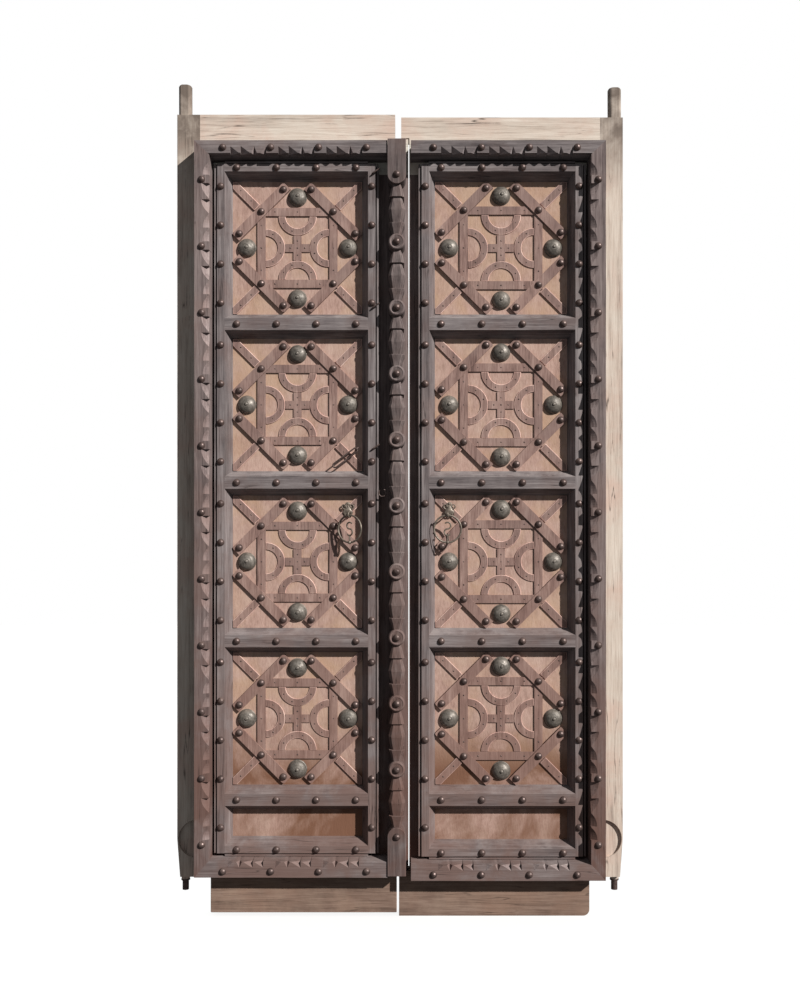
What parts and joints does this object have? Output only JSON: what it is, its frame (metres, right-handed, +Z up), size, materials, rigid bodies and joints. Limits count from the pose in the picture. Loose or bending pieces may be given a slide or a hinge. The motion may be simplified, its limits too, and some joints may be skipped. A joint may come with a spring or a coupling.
{
  "type": "carved pivot door pair",
  "caption": "Pair of carved wooden pivot door leaves with framed panels, a diamond and square lattice, domed iron studs, bosses, ring pulls and a carved cover strip over the seam.",
  "frame": {"origin": "bottom centre of the closed pair, on the line where the two leaves meet across the width and midway through the whole depth", "axes": "+Z up along the pivots, +Y through the door away from its carved front, +X to the right as the front is faced"},
  "size_m": [1.114, 0.1035, 2.082],
  "materials": {
    "carved_wood": "weathered, dry, dusty",
    "pale_wood": "weathered, bleached",
    "panel_wood": "weathered, remains of ochre paint",
    "iron": "forged, brown rust",
    "patina_iron": "forged, grey green patina"
  },
  "bodies": {
    "pivot_pins": {"lower_pivot_pin_left": "iron", "lower_pivot_pin_right": "iron"},
    "left_leaf": {"left_pivot_post": "pale_wood", "left_hanging_stile": "carved_wood", "left_meeting_stile": "carved_wood", "left_top_board": "pale_wood", "left_bottom_board": "carved_wood", "left_foot_tab": "carved_wood", "left_rails": "carved_wood", "left_panels": "panel_wood", "left_top_moulding": "carved_wood", "left_side_moulding": "carved_wood", "left_bottom_moulding": "carved_wood", "left_stile_battens": "carved_wood", "left_end_battens": "carved_wood", "left_square_frames": "carved_wood", "left_diamond_straps": "carved_wood", "left_corner_straps": "carved_wood", "left_half_rings": "carved_wood", "left_crosses": "carved_wood", "left_bosses": "patina_iron", "left_moulding_studs": "iron", "left_batten_studs": "iron", "left_rail_studs": "iron", "left_panel_studs": "iron", "left_ring_plate": "patina_iron", "left_ring_eye": "patina_iron", "cover_strip": "carved_wood", "cover_strip_studs": "iron", "latch_staples": "iron", "open_hook": "iron", "link_staple": "iron"},
    "right_leaf": {"right_pivot_post": "pale_wood", "right_hanging_stile": "carved_wood", "right_meeting_stile": "carved_wood", "right_top_board": "pale_wood", "right_bottom_board": "carved_wood", "right_foot_tab": "carved_wood", "right_rails": "carved_wood", "right_panels": "panel_wood", "right_top_moulding": "carved_wood", "right_side_moulding": "carved_wood", "right_bottom_moulding": "carved_wood", "right_stile_battens": "carved_wood", "right_end_battens": "carved_wood", "right_square_frames": "carved_wood", "right_diamond_straps": "carved_wood", "right_corner_straps": "carved_wood", "right_half_rings": "carved_wood", "right_crosses": "carved_wood", "right_bosses": "patina_iron", "right_moulding_studs": "iron", "right_batten_studs": "iron", "right_rail_studs": "iron", "right_panel_studs": "iron", "right_ring_plate": "patina_iron", "right_ring_eye": "patina_iron"},
    "left_ring": {"left_ring": "patina_iron"},
    "right_ring": {"right_ring": "patina_iron"},
    "long_link": {"long_link": "iron"}
  },
  "joints": [
    {"name": "left_leaf_swing", "type": "hinge", "parent": "pivot_pins", "child": "left_leaf", "pos_m": [-0.54, 0.03075, 0.1], "axis": [0, 0, 1], "range_deg": [0, 100]},
    {"name": "right_leaf_swing", "type": "hinge", "parent": "pivot_pins", "child": "right_leaf", "pos_m": [0.54, 0.03075, 0.1], "axis": [0, 0, -1], "range_deg": [0, 100]},
    {"name": "left_ring_swing", "type": "hinge", "parent": "left_leaf", "child": "left_ring", "pos_m": [-0.1245, -0.02025, 1.0004], "axis": [-0.866, 0.5, 0], "range_deg": [0, 100]},
    {"name": "right_ring_swing", "type": "hinge", "parent": "right_leaf", "child": "right_ring", "pos_m": [0.1175, -0.02025, 1.0004], "axis": [-1, 0, 0], "range_deg": [-12, 100]},
    {"name": "long_link_swing", "type": "hinge", "parent": "left_leaf", "child": "long_link", "pos_m": [-0.1075, -0.00225, 1.1658], "axis": [-0.6018, 0, 0.7986], "range_deg": [0, 120]}
  ]
}
